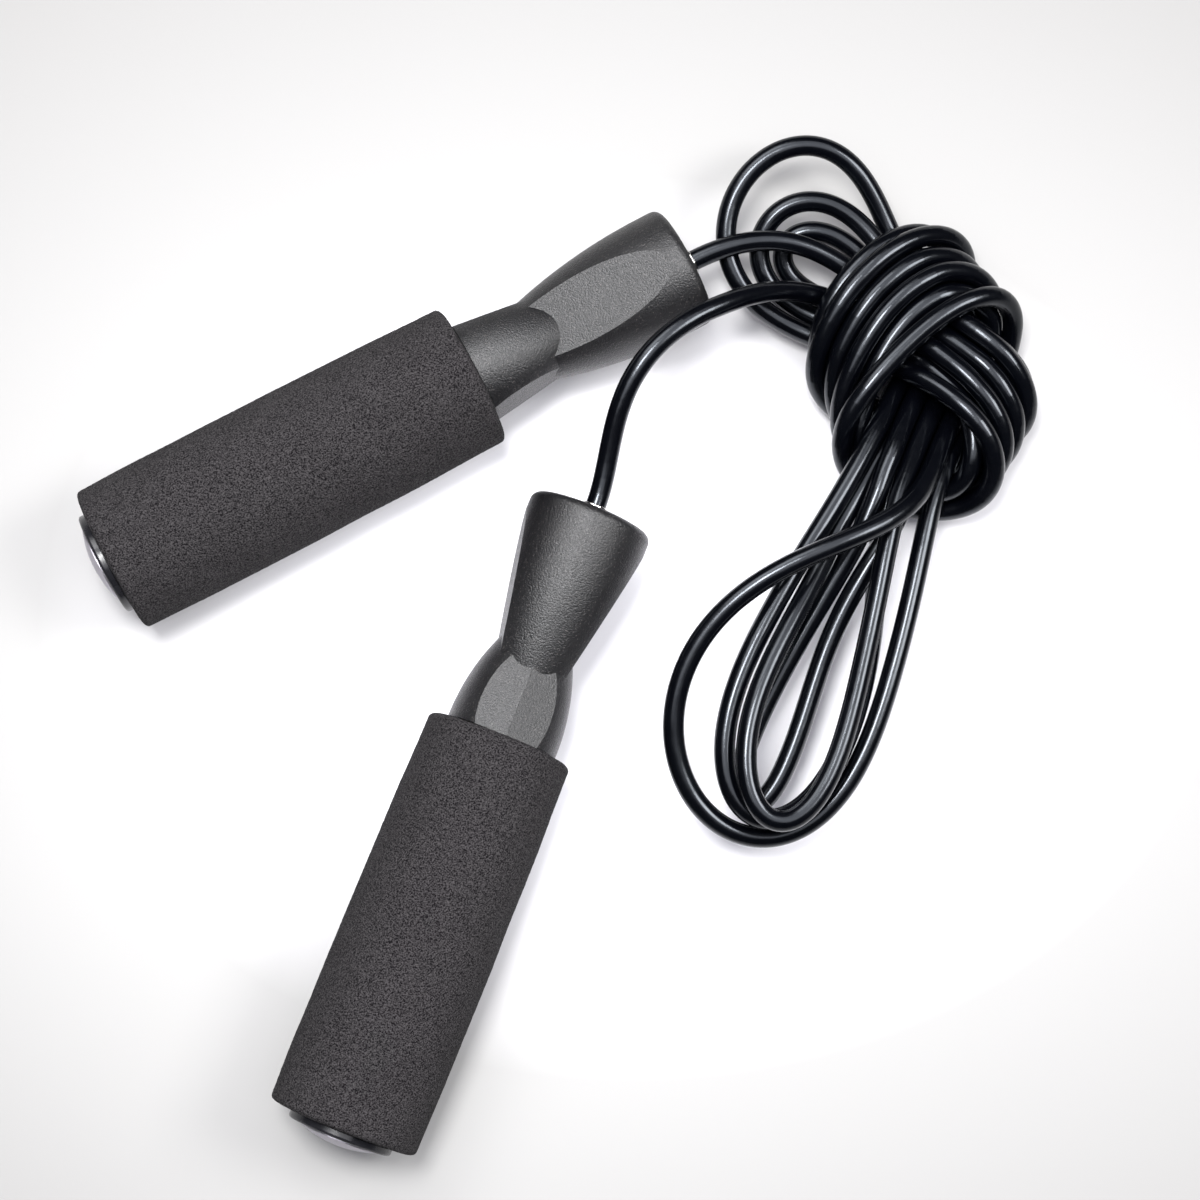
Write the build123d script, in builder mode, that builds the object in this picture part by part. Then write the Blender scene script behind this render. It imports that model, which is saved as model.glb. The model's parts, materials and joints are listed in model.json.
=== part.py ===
from build123d import *
import os
from math import cos, radians, sin, sqrt

import numpy as np

# A jump rope: two foam-gripped handles and one long cord, folded into a hank and tied in an
# overhand knot. Everything lies on the floor, Z = 0, and +Z is up. Lengths are in millimetres.
# Each handle is drawn in its own frame: the waist between head and neck is Z = 0, the head
# points along +Z and the butt along -Z, and the mould opens along X.

# cord
cord_diameter = 5.0
cord_gap = 0.3           # least gap between two strands that lie side by side
node_step = 2.0          # spacing of the points that the cord's path is worked out on
home_pull = 0.03         # how firmly the relaxed cord keeps to its laid-out course
straight_out = 4.0       # how far the cord runs straight out of each head
strand_count = 8

# handle, lengths along the axis
head_length = 39.0
neck_length = 18.6
foam_length = 98.0
foam_radius = 18.5
foam_edge = 1.6
tube_radius = 12.5
tube_bore = 10.0
head_radius = 15.1
head_arc = 138.0         # radius of the head's long, slightly swollen outline
neck_radius = 13.6       # where the neck meets the foam
neck_arc = 53.5
flat_at_waist = 8.4     # distance of the head's two flats from the axis
flat_slope = 0.195
ridge_at_waist = 10.3    # height of the neck's two ridges
ridge_slope = 0.128
ridge_fall = 0.2         # how steeply the facets fall away from a ridge

# bearing, a small deep-groove one
bearing_bore = 3.2
bearing_outer = 8.0
bearing_width = 5.0
inner_land = 4.75
outer_land = 6.35
ball_radius = 1.15
ball_pitch = 5.55
ball_count = 8
running_gap = 0.05
pocket_floor = head_length - 7.1
pocket_roof = pocket_floor + bearing_width + 0.1

# swivel parts on the cord
bush_radius = bearing_bore - 0.02
stop_radius = 5.2
stop_length = 11.0
cord_tail = 3.0

# end cap
cap_radius = 12.7
cap_rim = 1.8
cap_plug = 14.0
badge_radius = 9.5
badge_height = 2.1

butt = -(neck_length + foam_length)
stop_top = pocket_floor - 1.9
cord_end = stop_top - stop_length - cord_tail

# where the two handles lie: butt end on the floor plan, heading of the axis, nose-up tilt, and
# how far the handle is rolled about its axis from having its mould line on top
floor_centre = (-9.5, -10.9)
handle_a = {"butt_xy": (-116.8, 6.4), "heading": 27.9, "tilt": 0.0, "roll": -88.0}
handle_b = {"butt_xy": (-59.8, -127.0), "heading": 68.1, "tilt": 1.3, "roll": 8.0}


def to_model(point):
    """From the layout's plan coordinates to the model's, which are centred on the floor."""
    return np.array(point, float) - np.array([floor_centre[0], floor_centre[1], 0.0])


def axis_of(layout):
    heading = radians(layout["heading"])
    tilt = radians(layout["tilt"])
    return np.array([cos(tilt) * cos(heading), cos(tilt) * sin(heading), sin(tilt)])


def handle_pose(layout):
    """The handle's frame: origin at the waist, Z towards the head, Y up for no roll."""
    axis = axis_of(layout)
    waist = to_model((*layout["butt_xy"], foam_radius)) - butt * axis
    side = np.cross([0.0, 0.0, 1.0], axis)
    side /= np.linalg.norm(side)
    top = np.cross(axis, side)
    roll = radians(layout["roll"])
    x_dir = cos(roll) * side + sin(roll) * top
    return Plane(origin=tuple(waist), x_dir=tuple(x_dir), z_dir=tuple(axis))


# ---------------------------------------------------------------- handle shells


def head_outline(z):
    """Radius of the head's long arc, which runs out parallel to the axis near the top."""
    return head_radius - head_arc + sqrt(head_arc**2 - (head_length - 5 - z) ** 2)


def neck_outline(z):
    """Radius of the neck's arc, widest where it meets the foam."""
    return neck_radius - neck_arc + sqrt(neck_arc**2 - (z + neck_length - 1) ** 2)


def head_block():
    """The swollen head with its two flats."""
    foot = -12.0
    shoulder = head_length - 5
    edge = 2.2
    with BuildPart() as head:
        with BuildSketch(Plane.XZ):
            with BuildLine():
                swell = ThreePointArc(
                    (head_outline(foot), foot),
                    (head_outline(foot / 2 + shoulder / 2), foot / 2 + shoulder / 2),
                    (head_radius, shoulder),
                )
                Polyline(swell @ 1, (head_radius, head_length), (0, head_length), (0, foot), swell @ 0)
            make_face()
        revolve(axis=Axis.Z)
        fillet(head.edges().filter_by(GeomType.CIRCLE).group_by(Axis.Z)[-1], edge)
        reach = 2 * head_radius
        low = -20.0
        high = head_length + 10
        for side in (1, -1):
            with BuildSketch(Plane.XZ.offset(-reach)):
                with BuildLine():
                    Polyline(
                        (side * (flat_at_waist + flat_slope * low), low),
                        (side * (flat_at_waist + flat_slope * high), high),
                        (side * reach, high),
                        (side * reach, low),
                        close=True,
                    )
                make_face()
            extrude(amount=2 * reach, mode=Mode.SUBTRACT)
    return head.part


def neck_block():
    """The neck: a barrel cut to a shallow ridge, like a roof, on its two mould-line sides."""
    top = 9.0
    foot = -neck_length
    reach = 2 * neck_radius
    with BuildPart() as neck:
        with BuildSketch(Plane.XZ):
            with BuildLine():
                swell = ThreePointArc(
                    (neck_outline(foot), foot),
                    (neck_outline((foot + top) / 2), (foot + top) / 2),
                    (neck_outline(top), top),
                )
                Polyline(swell @ 1, (0, top), (0, foot), swell @ 0)
            make_face()
        revolve(axis=Axis.Z)
        ridge = ridge_at_waist - ridge_slope * foot
        for side in (1, -1):
            with BuildSketch(Plane.XY.offset(foot)):
                with BuildLine():
                    Polyline(
                        (0, side * ridge),
                        (reach, side * (ridge - ridge_fall * reach)),
                        (reach, -side * reach),
                        (-reach, -side * reach),
                        (-reach, side * (ridge - ridge_fall * reach)),
                        close=True,
                    )
                make_face()
            extrude(amount=top - foot, dir=(0, -side * ridge_slope, 1), mode=Mode.INTERSECT)
    return neck.part


def handle_body():
    """Head, neck and grip tube as one hollow body, before it is parted into two shells."""
    collar_height = 1.3
    collar_radius = 4.5
    cord_hole = 3.6
    bore = 6.5
    with BuildPart() as body:
        add(head_block())
        add(neck_block())
        with BuildSketch(Plane.XY.offset(butt)):
            Circle(tube_radius)
        extrude(amount=foam_length)
        with BuildSketch(Plane.XY.offset(head_length)):
            Circle(collar_radius)
        collar = extrude(amount=collar_height)
        fillet(collar.edges().sort_by(Axis.Z)[-1], 0.35)
        with BuildSketch(Plane.XZ):
            with BuildLine():
                Polyline(
                    (0, butt),
                    (tube_bore, butt),
                    (tube_bore, -neck_length - 12),
                    (bore, -neck_length - 4),
                    (bore, pocket_floor),
                    (bearing_outer + 0.02, pocket_floor),
                    (bearing_outer + 0.02, pocket_roof),
                    (cord_hole, pocket_roof),
                    (cord_hole, head_length + collar_height),
                    (0, head_length + collar_height),
                    close=True,
                )
            make_face()
        revolve(axis=Axis.Z, mode=Mode.SUBTRACT)
    return body.part


def shell_half(body, side):
    """One of the two mouldings, with pegs on the left half and their sockets in the right."""
    peg_radius = 0.7
    peg_reach = 2.0
    tube_wall = (tube_bore + tube_radius) / 2
    peg_places = [(y, z) for y in (tube_wall, -tube_wall) for z in (-35, -70, -105)]
    peg_places += [(10.0, 20.0), (-10.0, 20.0)]
    with BuildPart() as half:
        add(body)
        split(bisect_by=Plane.YZ, keep=Keep.TOP if side > 0 else Keep.BOTTOM)
        clearance = 0.0 if side > 0 else 0.06
        with BuildSketch(Plane.YZ):
            with Locations(*peg_places):
                Circle(peg_radius + clearance)
        if side > 0:
            extrude(amount=-peg_reach)
        else:
            extrude(amount=-peg_reach - 0.2, mode=Mode.SUBTRACT)
    return half.part


# ---------------------------------------------------------------- grip and end cap


def foam_grip():
    """The foam sleeve: a thick tube, a little fuller towards the butt, with soft edges."""
    inner = tube_radius + 0.05
    head_end = -neck_length - 0.05
    with BuildPart() as grip:
        with BuildSketch(Plane.XZ):
            with BuildLine():
                side = ThreePointArc(
                    (foam_radius - 0.25, butt),
                    (foam_radius, (butt + head_end) / 2 - 12),
                    (foam_radius - 0.7, head_end),
                )
                Polyline(side @ 1, (inner, head_end), (inner, butt), side @ 0)
            make_face()
        revolve(axis=Axis.Z)
        fillet(grip.edges().filter_by(GeomType.CIRCLE).filter_by(lambda e: e.radius > foam_radius - 2), foam_edge)
    return grip.part


def end_cap():
    """The push-in plug: a hollow stem that slides in the tube, a rim, and a seat for the badge."""
    stem_radius = tube_bore - running_gap
    stem_bore = stem_radius - 1.8
    face = butt - 0.1 - cap_rim
    with BuildPart() as cap:
        with BuildSketch(Plane.XY.offset(face)):
            Circle(cap_radius)
        extrude(amount=cap_rim)
        fillet(cap.edges().filter_by(GeomType.CIRCLE).sort_by(Axis.Z)[0], 0.7)
        with BuildSketch(Plane.XY.offset(butt - 0.1)):
            Circle(stem_radius)
            Circle(stem_bore, mode=Mode.SUBTRACT)
        extrude(amount=cap_plug)
        chamfer(cap.edges().filter_by(GeomType.CIRCLE).group_by(Axis.Z)[-1].sort_by(SortBy.RADIUS)[-1], 0.6)
        with BuildSketch(Plane.XY.offset(face)):
            Circle(badge_radius + 0.03)
        extrude(amount=0.6, mode=Mode.SUBTRACT)
    return cap.part


def cap_badge():
    """The plain domed disc that is let into the cap."""
    face = butt - 0.1 - cap_rim
    seat = face + 0.58
    rim = face - 0.4
    rise = badge_height - 0.4
    ball = (badge_radius**2 + rise**2) / (2 * rise)
    half_way = badge_radius / 2
    with BuildPart() as badge:
        with BuildSketch(Plane.XZ):
            with BuildLine():
                dome = ThreePointArc(
                    (badge_radius, rim),
                    (half_way, rim - rise + ball - sqrt(ball**2 - half_way**2)),
                    (0, face - badge_height),
                )
                Polyline(dome @ 1, (0, seat), (badge_radius, seat), dome @ 0)
            make_face()
        revolve(axis=Axis.Z)
    return badge.part


# ---------------------------------------------------------------- bearing and swivel


def bearing_middle():
    return pocket_floor + 0.05 + bearing_width / 2


def groove(radius):
    """The ball track: a ring cut a hair wider than the balls."""
    with BuildPart() as track:
        with BuildSketch(Plane.XZ):
            with Locations((ball_pitch, bearing_middle())):
                Circle(radius)
        revolve(axis=Axis.Z)
    return track.part


def bearing_ring(inner, outer):
    """One bearing ring: a short tube with a ball track and small corner chamfers."""
    shield_step = 0.3
    with BuildPart() as ring:
        with BuildSketch(Plane.XY.offset(bearing_middle() - bearing_width / 2)):
            Circle(outer)
            Circle(inner, mode=Mode.SUBTRACT)
        extrude(amount=bearing_width)
        chamfer(ring.edges().filter_by(GeomType.CIRCLE), 0.2)
        add(groove(ball_radius + 0.03), mode=Mode.SUBTRACT)
        if inner > bearing_bore + 1:
            with BuildSketch(Plane.XY.offset(bearing_middle() + bearing_width / 2 - shield_step)):
                Circle(inner + 0.55)
            extrude(amount=shield_step, mode=Mode.SUBTRACT)
            with BuildSketch(Plane.XY.offset(bearing_middle() - bearing_width / 2)):
                Circle(inner + 0.55)
            extrude(amount=shield_step, mode=Mode.SUBTRACT)
    return ring.part


def bearing_shields():
    """The two thin dust shields that sit in the outer ring."""
    thickness = 0.25
    low = bearing_middle() - bearing_width / 2 + 0.03
    with BuildPart() as shields:
        for level in (low, 2 * bearing_middle() - low - thickness):
            with BuildSketch(Plane.XY.offset(level)):
                Circle(outer_land + 0.5)
                Circle(inner_land + 0.25, mode=Mode.SUBTRACT)
            extrude(amount=thickness)
    return shields.part


def bearing_balls():
    with BuildPart() as balls:
        with Locations((0, 0, bearing_middle())):
            with PolarLocations(ball_pitch, ball_count):
                Sphere(ball_radius)
    return balls.part


def bearing_cage():
    """The crown cage: a ring with a round pocket for each ball."""
    with BuildPart() as cage:
        with BuildSketch(Plane.XY.offset(bearing_middle() - 1.75)):
            Circle(outer_land - 0.3)
            Circle(inner_land + 0.3, mode=Mode.SUBTRACT)
        extrude(amount=2.3)
        with Locations((0, 0, bearing_middle())):
            with PolarLocations(ball_pitch, ball_count):
                Sphere(ball_radius + 0.06, mode=Mode.SUBTRACT)
    return cage.part


def cord_bush():
    """The bright flanged sleeve that carries the cord through the bearing and out of the head."""
    flange = 0.75
    rise = 2.0
    foot = pocket_floor - 0.02
    with BuildPart() as bush:
        with BuildSketch(Plane.XY.offset(foot)):
            Circle(bush_radius)
        extrude(amount=head_length + rise - foot)
        fillet(bush.edges().filter_by(GeomType.CIRCLE).group_by(Axis.Z)[-1], 0.3)
        with BuildSketch(Plane.XY.offset(foot)):
            Circle(inner_land - 0.25)
        extrude(amount=-flange)
        with BuildSketch(Plane.XY.offset(foot - flange)):
            Circle(cord_diameter / 2 + 0.1)
        extrude(amount=head_length, mode=Mode.SUBTRACT)
    return bush.part


def thrust_washer():
    with BuildPart() as washer:
        with BuildSketch(Plane.XY.offset(stop_top + 0.1)):
            Circle(inner_land + 0.1)
            Circle(cord_diameter / 2 + 0.12, mode=Mode.SUBTRACT)
        extrude(amount=0.9)
    return washer.part


def cord_stop():
    """The metal collar that stops the cord from pulling out of the handle."""
    with BuildPart() as stop:
        with BuildSketch(Plane.XY.offset(stop_top - stop_length)):
            Circle(stop_radius)
            Circle(cord_diameter / 2 + 0.05, mode=Mode.SUBTRACT)
        extrude(amount=stop_length)
        chamfer(stop.edges().filter_by(GeomType.CIRCLE).filter_by(lambda e: e.radius > 4), 0.5)
        with BuildSketch(Plane.YZ):
            with Locations((0, stop_top - stop_length / 2)):
                Circle(1.55)
        extrude(amount=stop_radius + 1, mode=Mode.SUBTRACT)
    return stop.part


def stop_screw():
    """The grub screw that pinches the cord in its stop, with a hexagon socket."""
    with BuildPart() as screw:
        with BuildSketch(Plane.YZ.offset(cord_diameter / 2 + 0.05)):
            with Locations((0, stop_top - stop_length / 2)):
                Circle(1.5)
        extrude(amount=2.5)
        with BuildSketch(Plane.YZ.offset(cord_diameter / 2 + 2.55)):
            with Locations((0, stop_top - stop_length / 2)):
                RegularPolygon(0.75, 6, major_radius=False)
        extrude(amount=-1.4, mode=Mode.SUBTRACT)
    return screw.part


# ---------------------------------------------------------------- cord

# The folded hank runs through the knot as a band of eight strands. For each point along the
# band: its middle, and the direction across it, whose length spreads the strands.
band = [
    ((67, 70.5, 8), (0.72, 0.75, 0.0)),     # entering, under the first wrap
    ((86, 57.5, 18), (0.76, 0.74, 0.0)),    # over the front, towards the lower right
    ((99, 43.5, 15), (0.60, 0.95, 0.0)),    # round the right side
    ((91.5, 30.5, 8), (0.60, 0.90, 0.0)),
    ((75.5, 34.5, 7), (0.15, 1.05, 0.0)),     # across the back
    ((58.5, 43.5, 10), (-0.58, 0.86, 0.0)),   # up the left side
    ((60, 52, 15.5), (-0.68, 0.95, 0.0)),
    ((64, 62, 18.5), (-0.80, 0.92, 0.0)),
    ((71.5, 74, 20), (-0.72, 0.96, 0.0)),   # over the front, towards the upper right
    ((82, 80.5, 19), (-0.50, 1.0, 0.0)),
    ((91.5, 77, 14), (-0.40, 0.95, 0.0)),     # round the upper right and down
    ((91.5, 65.5, 8), (-0.55, 0.83, 0.0)),
    ((86, 55, 7), (-0.70, 0.70, 0.0)),      # behind the front band
    ((77.5, 45, 9), (-0.72, 0.55, 0.0)),
    ((74.5, 35.5, 16), (-0.80, 0.30, 0.0)),  # out over the back wrap
    ((69.5, 21, 20), (-1.05, 0.15, 0.0)),
]

# place of each strand in the band, counted from the band's middle in strand widths, and its
# layer, +1 for the upper one where the band enters the knot
band_places = [
    (0.25, 1), (1.75, -1), (-1.75, 1), (-1.25, -1), (1.25, 1), (-0.25, -1), (0.75, -1), (-0.75, 1),
]

# the four long loops below the knot, each from the strand that leaves the knot to the next one
lower_loops = [
    [(67, 8, 16), (66, -6, 16), (63, -20, 16), (59, -34, 17), (53, -47, 18), (45, -57, 19),
     (37, -59, 20), (31, -53, 22), (28.5, -44, 23), (29.5, -32, 24.5), (34, -20, 25), (40, -9, 25),
     (47, 3, 24), (54, 14, 22)],
    [(77.5, 11, 17), (74.5, -3, 17), (70.5, -15, 17), (66.5, -27, 17), (62, -39, 16), (56, -50, 16),
     (47, -58, 15.5), (37, -61, 16), (29, -58, 18), (22, -51, 20), (18, -43, 22), (17, -33, 25),
     (20, -20, 28), (26, -10, 30), (33, -4, 32), (41, 1.5, 32.5), (52, 7, 33), (61, 11, 33),
     (68, 14.5, 31)],
    [(55, 8, 20), (49, -3, 25), (43, -14, 27), (37, -26, 28), (33.5, -38, 28), (33.5, -48, 27.5),
     (37, -58, 27), (43, -61, 26), (49, -56, 25.5), (54, -45, 25), (58, -31, 25), (62, -17, 24),
     (66, -3, 23), (69, 9, 22)],
    [(57, 6, 18), (49, -10, 15), (43, -22, 14), (37, -33, 13), (32, -43, 12.5), (30, -51, 12.5),
     (33, -57, 12.5), (39, -54, 13), (43, -46, 13.5), (47, -34, 14), (51, -22, 15), (55, -9, 16),
     (60, 5, 16)],
]

# the three round loops above it
upper_loops = [
    [(71, 88, 11), (69, 95.5, 14), (65, 103, 17), (60, 108.5, 18), (53, 111, 19), (43, 109, 18),
     (35.5, 102, 17), (30.5, 94, 16), (29.5, 86, 15), (31, 80, 13), (34, 75, 11), (40, 70, 9.5),
     (46, 66.5, 9), (52, 62.5, 9)],
    [(45, 71, 8), (39, 76, 9), (36, 82, 11), (37, 88, 13), (40, 93, 14), (45, 96.5, 15),
     (50, 98.5, 15), (56, 98.5, 15), (62, 95.5, 15), (66.5, 90, 15), (70, 82, 13)],
    [(49, 72, 5.5), (43, 77, 6.5), (40.5, 82, 8), (42, 87, 10), (45, 90.5, 11), (50, 92.5, 12),
     (56, 92.5, 12), (60, 91.5, 12), (65, 88, 11), (68, 80, 9)],
]

# the two leads, from each handle to the knot
lead_a = [(35, 85.5, 18.5), (43, 87, 18.5), (50, 86, 18), (58, 81.5, 16), (63, 76, 13)]
lead_b = [(1.2, 30, 25.5), (2.2, 38, 28.8), (4.8, 45, 31), (9, 52, 32.3), (15, 58, 32.5), (24, 64, 31), (31, 67, 28),
          (38, 70, 25), (46, 72.5, 21), (54, 72.5, 18), (60, 69.5, 14)]


def head_top(layout):
    """Centre of the head's top face and the axis, in the layout's coordinates."""
    axis = axis_of(layout)
    start = np.array([*layout["butt_xy"], foam_radius])
    return start + (head_length - butt) * axis, axis


def straight_start(layout):
    """The cord's straight stretch, from its tail inside the handle to just outside the head."""
    top, axis = head_top(layout)
    inside = cord_end - head_length
    return [tuple(top + reach * axis) for reach in (inside, inside / 2, 1.5, 3.5, 6.0)]


def strand_through_knot(across, layer):
    """One strand's points, offset from the band's middle to the strand's own place."""
    pitch = cord_diameter + 0.2
    middle = np.array([point for point, _ in band], float)
    wide = np.array([direction for _, direction in band], float)
    spread = np.linalg.norm(wide, axis=1)[:, None]
    along = np.gradient(middle, axis=0)
    along /= np.linalg.norm(along, axis=1)[:, None]
    wide -= (wide * along).sum(axis=1)[:, None] * along
    wide /= np.linalg.norm(wide, axis=1)[:, None]
    face = np.cross(along, wide)
    return middle + across * pitch * spread * wide + layer * 0.43 * pitch * face


def even_curve(points, step):
    """A smooth curve through the points, sampled at an even step along its length."""
    p = np.array(points, float)
    p = np.vstack([2 * p[0] - p[1], p, 2 * p[-1] - p[-2]])
    t = np.linspace(0, 1, 24, endpoint=False)[:, None]
    parts = []
    for a, b, c, d in zip(p[:-3], p[1:-2], p[2:-1], p[3:]):
        linear = (c - a) * t
        square = (2 * a - 5 * b + 4 * c - d) * t**2
        cube = (3 * b - a - 3 * c + d) * t**3
        parts.append(0.5 * (2 * b + linear + square + cube))
    curve = np.vstack(parts + [p[-2][None]])
    run = np.concatenate([[0], np.cumsum(np.linalg.norm(np.diff(curve, axis=0), axis=1))])
    stops = np.linspace(0, run[-1], int(round(run[-1] / step)) + 1)
    return np.column_stack([np.interp(stops, run, curve[:, k]) for k in range(3)])


def first_path():
    """The cord's rough path: lead, then strands and loops by turns, then the other lead."""
    points = straight_start(handle_a) + lead_a
    for number in range(strand_count):
        strand = strand_through_knot(*band_places[number])
        down = number % 2 == 0
        points += [tuple(p) for p in (strand if down else strand[::-1])]
        if number < strand_count - 1:
            points += lower_loops[number // 2] if down else upper_loops[number // 2]
    points += lead_b[::-1] + straight_start(handle_b)[::-1]
    return even_curve(points, node_step)


def close_pairs(x, reach):
    """Pairs of points nearer than reach that aren't neighbours along the cord."""
    along_cord = int(round(11 / node_step))
    firsts = []
    seconds = []
    for start in range(0, len(x), 200):
        apart = np.linalg.norm(x[start:start + 200, None] - x[None], axis=2)
        i, j = np.nonzero(apart < reach)
        i = i + start
        keep = j - i > along_cord
        firsts.append(i[keep])
        seconds.append(j[keep])
    return np.concatenate(firsts), np.concatenate(seconds)


def bend_out(x, free, strength):
    """Evens out the curvature at three scales, as the cord's own stiffness does."""
    for m in (1, 2, 4):
        pull = np.zeros_like(x)
        w = 2 * m
        pull[w:-w] = (-x[:-2 * w] + 4 * x[m:-m - w] - 6 * x[w:-w] + 4 * x[m + w:-m] - x[2 * w:]) / 16
        x = x + strength * free * pull
    return x


def part_strands(x, free, pairs, apart):
    """Pushes touching strands away from each other, and the cord up off the floor."""
    i, j = pairs
    gap = x[j] - x[i]
    distance = np.linalg.norm(gap, axis=1)
    hit = distance < apart
    i, j = i[hit], j[hit]
    push = gap[hit] * ((apart - distance[hit]) / distance[hit] / 2)[:, None]
    move = np.zeros_like(x)
    count = np.zeros(len(x))
    for ends, sign in ((i, -1), (j, 1)):
        np.add.at(move, ends, sign * push)
        np.add.at(count, ends, 1)
    x = x + 0.6 * free * move / np.sqrt(np.maximum(count, 1))[:, None]
    lift = np.maximum(cord_diameter / 2 + 0.1 - x[:, 2], 0)
    x[:, 2] += lift * free[:, 0]
    return x


def clear_heads(x, free, radius):
    """Keeps the cord outside the two heads, except where it enters them."""
    for layout in (handle_a, handle_b):
        top, axis = head_top(layout)
        out = x - top
        along = out @ axis
        radial = out - along[:, None] * axis
        distance = np.linalg.norm(radial, axis=1)
        inside = (along > -head_length) & (along < 3.5) & (distance < radius) & (distance > 3.0)
        inside &= free[:, 0] > 0
        step = ((radius - distance[inside]) / distance[inside] / 2)[:, None]
        x[inside] += radial[inside] * step
    return x


def keep_length(x, free, rest):
    span = np.diff(x, axis=0)
    length = np.linalg.norm(span, axis=1)
    change = span * ((length - rest) / length / 4)[:, None]
    x = x + free * np.vstack([change, np.zeros((1, 3))])
    return x - free * np.vstack([np.zeros((1, 3)), change])


def settled_path():
    """The rough path, relaxed until no two strands touch and the bends are even."""
    x = first_path()
    home = x.copy()
    rest = np.linalg.norm(np.diff(x, axis=0), axis=1)
    apart = cord_diameter + cord_gap
    held = int(round((head_length - cord_end + straight_out) / node_step)) + 1
    free = np.ones((len(x), 1))
    free[:held] = 0
    free[-held:] = 0
    soft_rounds = 300
    firm_rounds = 200
    for number in range(soft_rounds + firm_rounds):
        soft = number < soft_rounds
        if number % 10 == 0:
            pairs = close_pairs(x, apart + 3)
        firmness = (number - soft_rounds) / firm_rounds
        x = bend_out(x, free, 0.5 if soft else 0.25 - 0.22 * firmness)
        if soft:
            x = x + home_pull * free * (home - x)
        for _ in range(2 if soft else 5):
            x = part_strands(x, free, pairs, apart)
        x = clear_heads(x, free, head_radius + cord_diameter / 2 + 0.6)
        if soft:
            x = keep_length(x, free, rest)
    return to_model(x)


def arc_joint(p, p_along, q, q_along):
    """Where two arcs meet that lead from p to q, leaving and arriving along the given directions."""
    v = q - p
    both = p_along + q_along
    turn = 1 - p_along @ q_along
    if turn < 1e-9:
        reach = (v @ v) / (4 * (v @ q_along))
    else:
        reach = (sqrt((v @ both) ** 2 + 2 * turn * (v @ v)) - v @ both) / (2 * turn)
    return (p + q + reach * (p_along - q_along)) / 2


def arc_or_line(p, q, along):
    """The arc from p to q that leaves p in the given direction; a line where it is straight."""
    chord = (q - p) / np.linalg.norm(q - p)
    if np.linalg.norm(np.cross(chord, along)) < 1e-4:
        return Line(tuple(p), tuple(q))
    return TangentArc(tuple(p), tuple(q), tangent=tuple(along))


def cord():
    """The whole cord as one round rod, swept along a chain of tangent arcs."""
    path = settled_path()
    along = np.gradient(path, axis=0)
    along /= np.linalg.norm(along, axis=1)[:, None]
    stride = 4
    stops = list(range(0, len(path) - stride, stride)) + [len(path) - 1]
    with BuildPart() as rod:
        with BuildLine() as route:
            for i, j in zip(stops[:-1], stops[1:]):
                joint = arc_joint(path[i], along[i], path[j], along[j])
                first = arc_or_line(path[i], joint, along[i])
                leaving = np.array(tuple(first % 1))
                arc_or_line(joint, path[j], leaving)
        with BuildSketch(Plane(origin=route.line @ 0, z_dir=route.line % 0)):
            Circle(cord_diameter / 2)
        sweep(path=route.wire())
    return rod.part


# ---------------------------------------------------------------- the parts, in place


def write(piece, name, pose=Plane.XY):
    """Sets a piece in its place, names it and writes it."""
    with BuildPart() as placed:
        with Locations(pose):
            add(piece)
    placed.part.label = name
    export_step(placed.part, f"parts/{name}.step")


def main():
    os.makedirs("parts", exist_ok=True)
    body = handle_body()
    pieces = {
        "shell_left": shell_half(body, 1),
        "shell_right": shell_half(body, -1),
        "foam_grip": foam_grip(),
        "end_cap": end_cap(),
        "cap_badge": cap_badge(),
        "bearing_outer_ring": bearing_ring(outer_land, bearing_outer),
        "bearing_inner_ring": bearing_ring(bearing_bore, inner_land),
        "bearing_shields": bearing_shields(),
        "bearing_balls": bearing_balls(),
        "bearing_cage": bearing_cage(),
        "cord_bush": cord_bush(),
        "thrust_washer": thrust_washer(),
        "cord_stop": cord_stop(),
        "stop_screw": stop_screw(),
    }
    for side, layout in (("a", handle_a), ("b", handle_b)):
        pose = handle_pose(layout)
        for name, piece in pieces.items():
            write(piece, f"{name}_{side}", pose)
    write(cord(), "cord")


main()
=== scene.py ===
import json
from math import cos, pi, radians, sin

import bpy
import numpy as np
from mathutils import Matrix, Vector, noise

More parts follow.
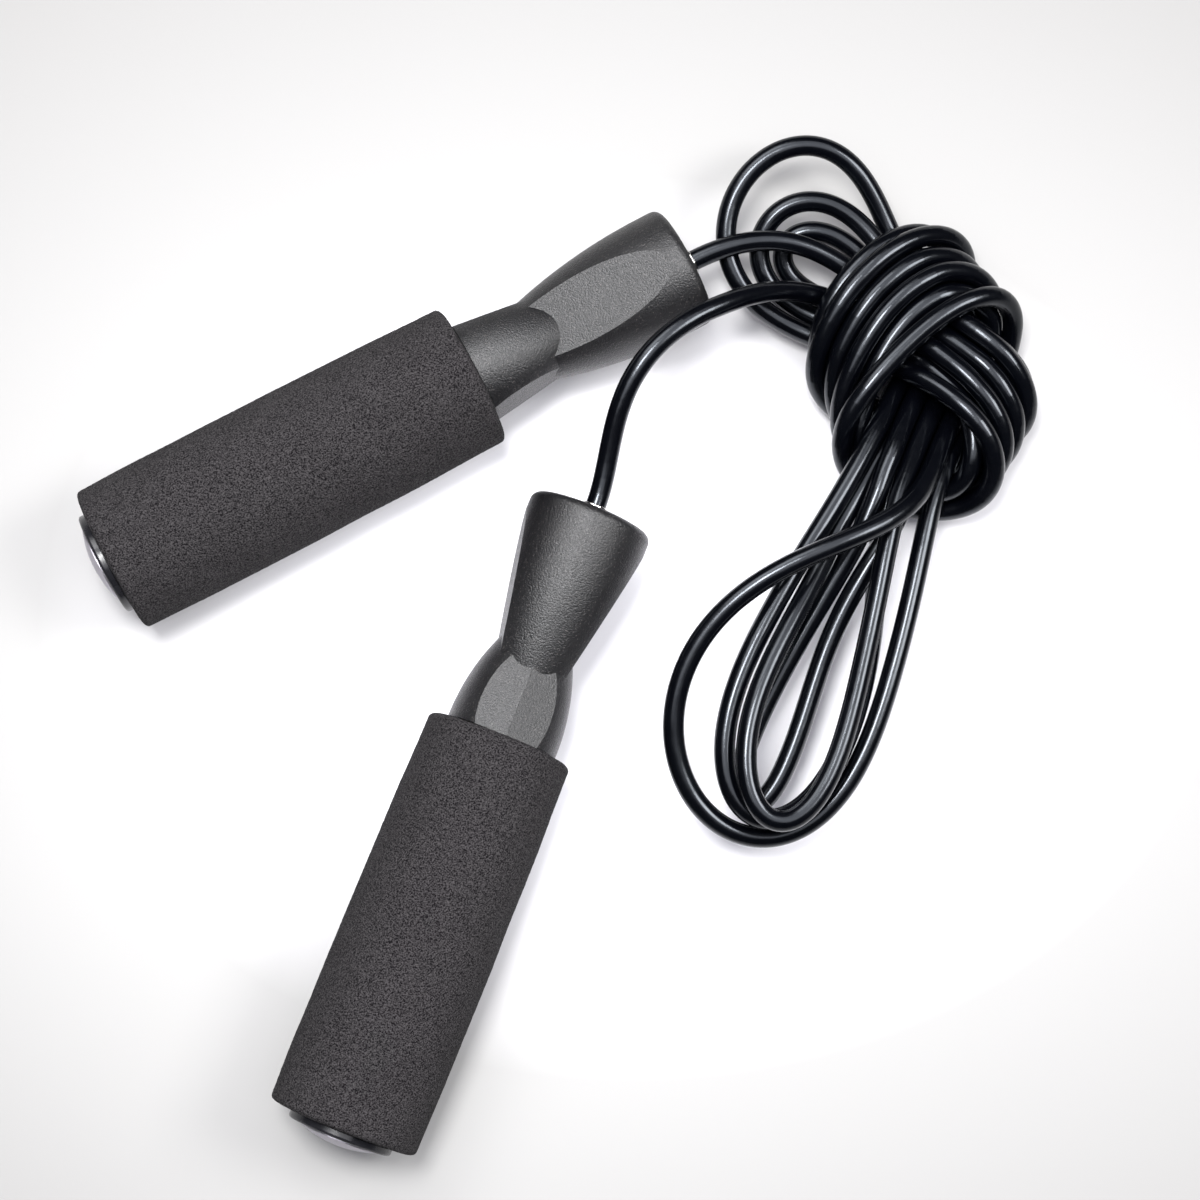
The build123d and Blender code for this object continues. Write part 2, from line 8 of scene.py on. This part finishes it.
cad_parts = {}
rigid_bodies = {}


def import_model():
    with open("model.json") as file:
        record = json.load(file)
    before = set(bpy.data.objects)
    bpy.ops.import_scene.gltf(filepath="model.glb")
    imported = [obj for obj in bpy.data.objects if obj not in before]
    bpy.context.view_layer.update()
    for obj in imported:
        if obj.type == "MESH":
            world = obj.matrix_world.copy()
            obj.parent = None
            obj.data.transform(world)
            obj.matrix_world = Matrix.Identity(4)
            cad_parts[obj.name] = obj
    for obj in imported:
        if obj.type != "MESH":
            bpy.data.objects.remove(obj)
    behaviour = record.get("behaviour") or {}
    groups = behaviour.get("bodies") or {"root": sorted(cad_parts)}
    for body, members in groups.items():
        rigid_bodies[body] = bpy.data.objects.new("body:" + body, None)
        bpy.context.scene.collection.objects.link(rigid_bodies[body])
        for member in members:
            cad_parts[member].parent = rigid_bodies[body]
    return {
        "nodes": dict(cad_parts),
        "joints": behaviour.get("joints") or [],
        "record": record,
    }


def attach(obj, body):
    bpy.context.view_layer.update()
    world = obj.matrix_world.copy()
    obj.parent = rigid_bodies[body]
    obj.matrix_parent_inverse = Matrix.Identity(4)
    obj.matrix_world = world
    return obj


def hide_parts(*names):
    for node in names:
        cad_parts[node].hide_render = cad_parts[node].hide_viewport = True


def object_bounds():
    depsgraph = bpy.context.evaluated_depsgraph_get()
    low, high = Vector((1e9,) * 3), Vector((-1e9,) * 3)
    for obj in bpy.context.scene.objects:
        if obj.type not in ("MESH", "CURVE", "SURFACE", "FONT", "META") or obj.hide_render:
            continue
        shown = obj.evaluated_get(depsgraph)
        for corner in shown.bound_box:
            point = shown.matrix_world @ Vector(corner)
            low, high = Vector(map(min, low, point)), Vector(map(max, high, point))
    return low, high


# A jump rope: two foam-gripped handles and a knotted cord. Everything is in metres, in the frame
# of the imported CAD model. The CAD nodes keep their shapes and get their finishes here, and each
# foam grip is modelled anew, because foam isn't a smooth cylinder.

MM = 0.001
SIDES = ("a", "b")

# foam sleeves
FOAM_STEP = 0.5 * MM           # spacing of the sleeve's mesh points
FOAM_BORE_STEP = 2 * MM        # and along the plain bore
FOAM_FRONT_EDGE = 1.6 * MM     # soft rounding where the foam meets the neck
FOAM_BUTT_EDGE = 0.8 * MM      # tighter rounding at the cut end
FOAM_SWAY = 0.16 * MM          # slow unevenness of the sleeve
FOAM_SWAY_LENGTH = 16 * MM
FOAM_GRAIN = 0.07 * MM         # height of the foam's grain
FOAM_GRAIN_LENGTH = 0.75 * MM
FOAM_FINE_GRAIN = 0.5          # share and relative spacing of the grain's finer part
FOAM_FINE_SPACING = 2.1
FOAM_BORE_CLEARANCE = 0.04 * MM

# surfaces: colours are linear, a pair of them is the range that a slow pattern wanders over
CORD_SHADES = ((0.0003, 0.0004, 0.0010), (0.0009, 0.0011, 0.0022))
CORD_SHEEN_TINT = (0.86, 0.92, 1.0)
CORD_ROUGHNESS = (0.15, 0.27)
PLASTIC_SHADES = ((0.0024, 0.0022, 0.0030), (0.0046, 0.0042, 0.0050))
PLASTIC_GLINT = (0.09, 0.08, 0.075)
PLASTIC_ROUGHNESS = (0.33, 0.50)
FOAM_SHADES = ((0.050, 0.046, 0.047), (0.064, 0.060, 0.061))
# painted shade: the foam's pits, where its relief is low, are painted near black
FOAM_PAINTED_PIT_SHADE = (0.003, 0.0025, 0.0033)
CAP_SHADES = ((0.010, 0.010, 0.012), (0.018, 0.018, 0.021))
CAP_ROUGHNESS = (0.16, 0.30)
NYLON_ROUGHNESS = (0.38, 0.55)
DULLED = 0.72                  # how dark a metal's smears go, against its own colour
CLOUDED = 0.86                 # the same for nylon
STREAK_SQUEEZE = 0.04          # a streak is 1 / this longer than it is wide
HANDLE_EDGE = 0.1 * MM         # rounding that the shading gives to hard edges
CAP_EDGE = 0.15 * MM

# floor: pale paper with painted light on it: a painted pool of light, brightest under the object,
# and a little greyer further out, where the painted light falls off, then pale again
PAPER_PAINTED_POOL = (0.88, 0.87, 0.89)
PAPER_PAINTED_FALLOFF = (0.365, 0.36, 0.35)
PAPER_PAINTED_DIMMEST = (0.28, 0.275, 0.265)
PAPER_BEYOND = (0.8, 0.79, 0.78)
PAPER_NEAR_TO_MID = (0.06, 0.145)
PAPER_MID_TO_FAR = (0.145, 0.27)
PAPER_FAR_TO_BEYOND = (0.28, 1.1)
PAPER_SQUASH = 1.3             # the bright part is this much narrower in y than in x
PAPER_SHIFT = (0.008, -0.006)
FLOOR_HALF = 3.0

# lights: name, place, width and height, watts, colour
LIGHTS = (
    ("key", (-0.12, 0.10, 1.10), (0.26, 0.26), 10.0, (1.0, 1.0, 1.0)),
    ("ceiling", (0.02, 0.20, 1.25), (1.4, 1.4), 14.0, (0.95, 0.95, 1.0)),
    ("window", (-0.38, 0.72, 1.00), (0.7, 0.5), 5.5, (1.0, 1.0, 1.0)),
    ("panel", (0.80, 0.08, 1.00), (0.45, 0.45), 11.0, (1.0, 1.0, 1.0)),
)

# surroundings, for each kind of ray that reaches them: colour and strength
SURROUNDINGS = (
    ("Is Diffuse Ray", (0.88, 0.89, 1.0), 0.55),
    ("Is Glossy Ray", (0.85, 0.90, 1.0), 0.05),
    ("Is Camera Ray", (0.9, 0.9, 0.9), 0.9),
)

# camera: nearly overhead, a little up and right of the middle of the object
CAMERA_AIM = Vector((9.5, 10.9, 0)) * MM
CAMERA_ELEVATION = radians(81)
CAMERA_DISTANCE = 780 * MM
CAMERA_LENS = 96
SENSOR_WIDTH = 36
CLIP_START = 10 * MM

for old in list(bpy.data.objects):
    bpy.data.objects.remove(old, do_unlink=True)

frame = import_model()
cad_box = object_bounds()
nodes = frame["nodes"]
joints = {joint["name"]: joint for joint in frame["joints"]}


# ---------------------------------------------------------------- materials


class Finish:
    """A node material in the making: a Principled surface and a few shorthands round it."""

    def __init__(self, name, **inputs):
        self.material = bpy.data.materials.new(name)
        self.material.use_nodes = True
        self.tree = self.material.node_tree
        self.surface = self.tree.nodes["Principled BSDF"]
        self.set(**inputs)
        self.coordinates = self.tree.nodes.new("ShaderNodeTexCoord").outputs["Object"]

    def feed(self, socket, value):
        """Gives a socket a number, a colour, or another node's output."""
        if isinstance(value, bpy.types.NodeSocket):
            self.tree.links.new(value, socket)
        elif socket.type == "RGBA":
            socket.default_value = (*value, 1)
        else:
            socket.default_value = value

    def set(self, **inputs):
        """Sets the surface's inputs; Base_Color stands for Base Color."""
        for key, value in inputs.items():
            self.feed(self.surface.inputs[key.replace("_", " ")], value)

    def noise(self, length, detail, vector=None):
        """Noise whose features are about that long."""
        node = self.tree.nodes.new("ShaderNodeTexNoise")
        self.feed(node.inputs["Vector"], vector or self.coordinates)
        self.feed(node.inputs["Scale"], 1 / length)
        self.feed(node.inputs["Detail"], detail)
        return node.outputs["Fac"]

    def cells(self, length):
        """Distance to the nearest of many scattered points."""
        node = self.tree.nodes.new("ShaderNodeTexVoronoi")
        self.feed(node.inputs["Vector"], self.coordinates)
        self.feed(node.inputs["Scale"], 1 / length)
        return node.outputs["Distance"]

    def span(self, value, source, target=(0.0, 1.0)):
        """A value's range carried to another range."""
        node = self.tree.nodes.new("ShaderNodeMapRange")
        self.feed(node.inputs["Value"], value)
        for key, number in zip(("From Min", "From Max", "To Min", "To Max"), (*source, *target)):
            self.feed(node.inputs[key], number)
        return node.outputs["Result"]

    def mix(self, share, first, second):
        """From the first colour to the second as share goes from 0 to 1."""
        node = self.tree.nodes.new("ShaderNodeMix")
        node.data_type = "RGBA"
        colour_a, colour_b = (socket for socket in node.inputs if socket.type == "RGBA")
        self.feed(node.inputs["Factor"], share)
        self.feed(colour_a, first)
        self.feed(colour_b, second)
        return next(socket for socket in node.outputs if socket.type == "RGBA")

    def add(self, first, second, share):
        """first + share * second"""
        node = self.tree.nodes.new("ShaderNodeMath")
        node.operation = "MULTIPLY_ADD"
        for socket, value in zip(node.inputs, (second, share, first)):
            self.feed(socket, value)
        return node.outputs[0]

    def stretched(self, along):
        """Coordinates squeezed along an axis, so that noise on them runs as long streaks."""
        node = self.tree.nodes.new("ShaderNodeMapping")
        turn = Vector(along).to_track_quat("Z", "Y").inverted().to_euler()
        self.feed(node.inputs["Vector"], self.coordinates)
        self.feed(node.inputs["Rotation"], turn)
        self.feed(node.inputs["Scale"], (1, 1, STREAK_SQUEEZE))
        return node.outputs["Vector"]

    def relief(self, height, depth, edge=0.0):
        """Fine relief of that depth, on edges rounded by the radius edge if it isn't 0."""
        node = self.tree.nodes.new("ShaderNodeBump")
        self.feed(node.inputs["Height"], height)
        self.feed(node.inputs["Distance"], depth)
        if edge:
            bevel = self.tree.nodes.new("ShaderNodeBevel")
            bevel.samples = 4
            self.feed(bevel.inputs["Radius"], edge)
            self.feed(node.inputs["Normal"], bevel.outputs["Normal"])
        self.set(Normal=node.outputs["Normal"])


def cord_pvc():
    finish = Finish("cord_pvc", IOR=1.54, Specular_IOR_Level=0.42, Specular_Tint=CORD_SHEEN_TINT)
    slow = finish.noise(9 * MM, 2)
    smear = finish.noise(1.6 * MM, 3)
    ripple = finish.noise(5 * MM, 1)
    fine = finish.noise(0.5 * MM, 2)
    finish.set(
        Base_Color=finish.mix(slow, *CORD_SHADES),
        Roughness=finish.span(finish.add(slow, smear, 0.6), (0.4, 1.2), CORD_ROUGHNESS),
    )
    finish.relief(finish.add(ripple, fine, 0.05), 0.05 * MM)
    return finish.material


def handle_plastic():
    finish = Finish("handle_plastic", IOR=1.5, Specular_IOR_Level=0.72)
    grain = finish.noise(0.4 * MM, 3)
    blotch = finish.noise(6 * MM, 3)
    glint = finish.span(finish.cells(0.8 * MM), (0.0, 0.24), (1.0, 0.0))
    finish.set(
        Base_Color=finish.mix(glint, finish.mix(blotch, *PLASTIC_SHADES), PLASTIC_GLINT),
        Roughness=finish.span(grain, (0.3, 0.7), PLASTIC_ROUGHNESS),
    )
    finish.relief(grain, 0.17 * MM, HANDLE_EDGE)
    return finish.material


def grip_foam():
    finish = Finish("grip_foam", Roughness=0.95, IOR=1.35, Specular_IOR_Level=0.25)
    grain = finish.noise(0.36 * MM, 2)
    lumps = finish.noise(0.7 * MM, 2)
    blotch = finish.noise(11 * MM, 3)
    height = finish.add(grain, lumps, 0.15)
    # the relief's low parts are painted dark: painted shade in the foam's pits
    skin = finish.span(height, (0.43, 0.75))
    finish.set(Base_Color=finish.mix(skin, FOAM_PAINTED_PIT_SHADE, finish.mix(blotch, *FOAM_SHADES)))
    finish.relief(height, 0.45 * MM)
    return finish.material


def cap_plastic():
    finish = Finish("cap_plastic", IOR=1.5)
    smear = finish.noise(2.5 * MM, 3)
    finish.set(
        Base_Color=finish.mix(smear, *CAP_SHADES),
        Roughness=finish.span(smear, (0.3, 0.7), CAP_ROUGHNESS),
    )
    finish.relief(finish.noise(0.4 * MM, 2), 0.006 * MM, CAP_EDGE)
    return finish.material


def metal(name, colour, roughness, streak=None, edge=HANDLE_EDGE):
    """A metal finish: turned or brushed along streak, or with an even satin grain."""
    finish = Finish(name, Metallic=1.0)
    vector = finish.stretched(streak) if streak is not None else None
    grain = finish.noise(0.22 * MM, 3, vector)
    smear = finish.noise(3 * MM, 3)
    patchy = finish.add(grain, smear, 0.5)
    finish.set(
        Base_Color=finish.mix(smear, [DULLED * part for part in colour], colour),
        Roughness=finish.span(patchy, (0.4, 1.1), (0.7 * roughness, 1.3 * roughness)),
    )
    finish.relief(grain, 0.006 * MM, edge)
    return finish.material


def nylon(name, colour):
    finish = Finish(name, IOR=1.53, Subsurface_Weight=0.15, Subsurface_Scale=0.5 * MM)
    cloud = finish.noise(2.2 * MM, 3)
    finish.set(
        Base_Color=finish.mix(cloud, [CLOUDED * part for part in colour], colour),
        Roughness=finish.span(cloud, (0.3, 0.7), NYLON_ROUGHNESS),
    )
    finish.relief(finish.noise(0.3 * MM, 2), 0.01 * MM, HANDLE_EDGE)
    return finish.material


def finishes():
    """Every material slot's finish. Those that run along a handle come once for each side."""
    made = {
        "cord_pvc": cord_pvc(),
        "handle_plastic": handle_plastic(),
        "grip_foam": grip_foam(),
        "cap_plastic": cap_plastic(),
        "badge_silver": metal("badge_silver", (0.55, 0.53, 0.59), 0.45),
        "ball_steel": metal("ball_steel", (0.70, 0.70, 0.72), 0.08, edge=0.0),
        "cage_nylon": nylon("cage_nylon", (0.72, 0.69, 0.60)),
        "washer_nylon": nylon("washer_nylon", (0.80, 0.79, 0.75)),
        "screw_steel": metal("screw_steel", (0.16, 0.16, 0.17), 0.4),
    }
    turned = {
        "bearing_steel": ((0.60, 0.60, 0.62), 0.2),
        "shield_steel": ((0.50, 0.50, 0.51), 0.32),
        "bush_nickel": ((0.78, 0.76, 0.73), 0.14),
        "stop_brass": ((0.72, 0.55, 0.27), 0.28),
    }
    for side in SIDES:
        axis = joints[f"handle_{side}_spin"]["axis"]
        for slot, (colour, roughness) in turned.items():
            name = f"{slot}_{side}"
            made[name] = metal(name, colour, roughness, axis)
    return made


def dress(made):
    """Gives each CAD node the finish of its material slot."""
    for part in frame["record"]["subparts"]:
        name = part["node"]
        slot = part["material_slot"]
        mesh = nodes[name].data
        mesh.materials.clear()
        mesh.materials.append(made.get(slot) or made[f"{slot}_{name[-1]}"])


# ---------------------------------------------------------------- foam grips


def sleeve_measures(side):
    """The CAD sleeve's bore radius and outline: rising distances along the axis, radii there."""
    joint = joints[f"handle_{side}_spin"]
    origin = np.array(joint["pos_m"])
    axis = np.array(joint["axis"])
    mesh = nodes[f"foam_grip_{side}"].data
    points = np.empty(3 * len(mesh.vertices))
    mesh.vertices.foreach_get("co", points)
    points = points.reshape(-1, 3) - origin
    along = points @ axis
    across = np.linalg.norm(points - np.outer(along, axis), axis=1)
    bore = across.min()
    skin = across > 0.5 * (bore + across.max())
    order = np.argsort(along[skin])
    return bore, along[skin][order], across[skin][order]


def line(start, end, step):
    """Points from start up to, but not including, end."""
    start, end = np.array(start), np.array(end)
    count = max(1, round(np.linalg.norm(end - start) / step))
    return [tuple(start + (end - start) * i / count) for i in range(count)]


def corner(centre, radius, first, last):
    """Points on an arc, from the angle first up to, but not including, last, in degrees."""
    count = max(3, round(radius * radians(last - first) / FOAM_STEP))
    angles = [radians(first + (last - first) * i / count) for i in range(count)]
    return [(centre[0] + radius * cos(angle), centre[1] + radius * sin(angle)) for angle in angles]


def sleeve_profile(low, high, outer, bore):
    """The sleeve's closed profile of (along, across) points: bore, front, outside, butt."""
    front, butt = FOAM_FRONT_EDGE, FOAM_BUTT_EDGE
    points = line((low, bore), (high, bore), FOAM_BORE_STEP)
    points += line((high, bore), (high, outer - front), FOAM_STEP)
    points += corner((high - front, outer - front), front, 0, 90)
    points += line((high - front, outer), (low + butt, outer), FOAM_STEP)
    points += corner((low + butt, outer - butt), butt, 90, 180)
    points += line((low, outer - butt), (low, bore), FOAM_STEP)
    return points


def foam_height(point):
    """How far the foam stands proud at a point of its smooth form."""
    sway = noise.noise(point / FOAM_SWAY_LENGTH)
    grain = noise.noise(point / FOAM_GRAIN_LENGTH)
    fine = noise.noise(point / FOAM_GRAIN_LENGTH * FOAM_FINE_SPACING)
    return FOAM_SWAY * sway + FOAM_GRAIN * (grain + FOAM_FINE_GRAIN * fine)


def foam_sleeve(side, finish):
    """One grip: a turned sleeve whose outside and end faces carry the foam's own uneven skin."""
    joint = joints[f"handle_{side}_spin"]
    bore, stations, radii = sleeve_measures(side)
    low, high, outer = stations[0], stations[-1], radii.max()
    bore += FOAM_BORE_CLEARANCE
    peak = FOAM_SWAY + FOAM_GRAIN
    profile = sleeve_profile(low + peak, high - peak, outer - 0.5 * peak, bore)
    turns = round(2 * pi * outer / FOAM_STEP)
    turn = Vector(joint["axis"]).to_track_quat("Z", "Y").to_matrix().to_4x4()
    place = Matrix.Translation(joint["pos_m"]) @ turn
    count = len(profile)
    vertices = []
    for i, (along, across) in enumerate(profile):
        before, after = profile[i - 1], profile[(i + 1) % count]
        tangent = Vector((after[0] - before[0], after[1] - before[1])).normalized()
        on_bore = across < bore + FOAM_BORE_CLEARANCE
        slim = outer - np.interp(along, stations, radii)
        for k in range(turns):
            angle = 2 * pi * k / turns
            radial = Vector((cos(angle), sin(angle), 0))
            point = radial * across + Vector((0, 0, along))
            if not on_bore:
                inward = Vector((0, 0, tangent[1])) - radial * tangent[0]
                point -= inward * foam_height(point) + radial * slim
            vertices.append(place @ point)
    faces = []
    for i in range(count):
        j = (i + 1) % count
        for k in range(turns):
            m = (k + 1) % turns
            faces.append((i * turns + k, i * turns + m, j * turns + m, j * turns + k))
    mesh = bpy.data.meshes.new(f"foam_sleeve_{side}")
    mesh.from_pydata(vertices, [], faces)
    mesh.polygons.foreach_set("use_smooth", [True] * len(faces))
    mesh.update()
    mesh.materials.append(finish)
    sleeve = bpy.data.objects.new(f"foam_sleeve_{side}", mesh)
    bpy.context.scene.collection.objects.link(sleeve)
    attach(sleeve, f"handle_{side}")
    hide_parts(f"foam_grip_{side}")


# ---------------------------------------------------------------- stage


def floor_paper_painted_light(middle):
    finish = Finish("floor_paper_painted_light", Roughness=0.35, IOR=1.3)
    place = finish.tree.nodes.new("ShaderNodeMapping")
    shift = (-middle.x - PAPER_SHIFT[0], -PAPER_SQUASH * middle.y - PAPER_SHIFT[1], 0)
    finish.feed(place.inputs["Vector"], finish.coordinates)
    finish.feed(place.inputs["Location"], shift)
    finish.feed(place.inputs["Scale"], (1, PAPER_SQUASH, 0))
    length = finish.tree.nodes.new("ShaderNodeVectorMath")
    length.operation = "LENGTH"
    finish.feed(length.inputs[0], place.outputs["Vector"])
    distance = length.outputs["Value"]
    # the paper's colour is painted light: a bright painted pool under the object, painted darker
    # outwards as the light falls off, then pale again far out
    shade = finish.mix(finish.span(distance, PAPER_NEAR_TO_MID), PAPER_PAINTED_POOL, PAPER_PAINTED_FALLOFF)
    shade = finish.mix(finish.span(distance, PAPER_MID_TO_FAR), shade, PAPER_PAINTED_DIMMEST)
    shade = finish.mix(finish.span(distance, PAPER_FAR_TO_BEYOND), shade, PAPER_BEYOND)
    finish.set(Base_Color=shade)
    return finish.material


def floor(middle):
    half = FLOOR_HALF
    corners = [(-half, -half, 0), (half, -half, 0), (half, half, 0), (-half, half, 0)]
    mesh = bpy.data.meshes.new("floor")
    mesh.from_pydata(corners, [], [(0, 1, 2, 3)])
    mesh.materials.append(floor_paper_painted_light(middle))
    paper = bpy.data.objects.new("floor", mesh)
    bpy.context.scene.collection.objects.link(paper)


def softbox(name, place, size, power, colour, aim):
    light = bpy.data.lights.new(name, "AREA")
    light.shape = "RECTANGLE"
    light.size, light.size_y = size
    light.energy = power
    light.color = colour
    box = bpy.data.objects.new(name, light)
    box.location = place
    box.rotation_mode = "QUATERNION"
    box.rotation_quaternion = (aim - Vector(place)).to_track_quat("-Z", "Y")
    bpy.context.scene.collection.objects.link(box)


def surroundings():
    """Even pale light all round: bright to the camera, soft fill on matt things, dim in gloss."""
    world = bpy.data.worlds.new("studio")
    bpy.context.scene.world = world
    world.use_nodes = True
    world.cycles.sampling_method = "NONE"
    tree = world.node_tree
    tree.nodes.clear()
    path = tree.nodes.new("ShaderNodeLightPath")
    last = None
    for ray, colour, strength in SURROUNDINGS:
        background = tree.nodes.new("ShaderNodeBackground")
        background.inputs["Color"].default_value = (*colour, 1)
        background.inputs["Strength"].default_value = strength
        shade = background.outputs[0]
        if last is not None:
            mix = tree.nodes.new("ShaderNodeMixShader")
            tree.links.new(path.outputs[ray], mix.inputs[0])
            tree.links.new(last, mix.inputs[1])
            tree.links.new(shade, mix.inputs[2])
            shade = mix.outputs[0]
        last = shade
    output = tree.nodes.new("ShaderNodeOutputWorld")
    tree.links.new(last, output.inputs["Surface"])


def camera(middle):
    data = bpy.data.cameras.new("camera")
    data.lens = CAMERA_LENS
    data.sensor_width = SENSOR_WIDTH
    data.clip_start = CLIP_START
    eye = bpy.data.objects.new("camera", data)
    back = Vector((0, -cos(CAMERA_ELEVATION), sin(CAMERA_ELEVATION)))
    eye.location = middle + back * CAMERA_DISTANCE
    eye.rotation_euler = (pi / 2 - CAMERA_ELEVATION, 0, 0)
    bpy.context.scene.collection.objects.link(eye)
    bpy.context.scene.camera = eye


made = finishes()
dress(made)
for side in SIDES:
    foam_sleeve(side, made["grip_foam"])

low, high = cad_box
middle = Vector(((low.x + high.x) / 2, (low.y + high.y) / 2, 0)) + CAMERA_AIM
floor(middle)
for name, place, size, power, colour in LIGHTS:
    softbox(name, place, size, power, colour, middle)
surroundings()
camera(middle)
bpy.context.scene.view_settings.view_transform = "Standard"
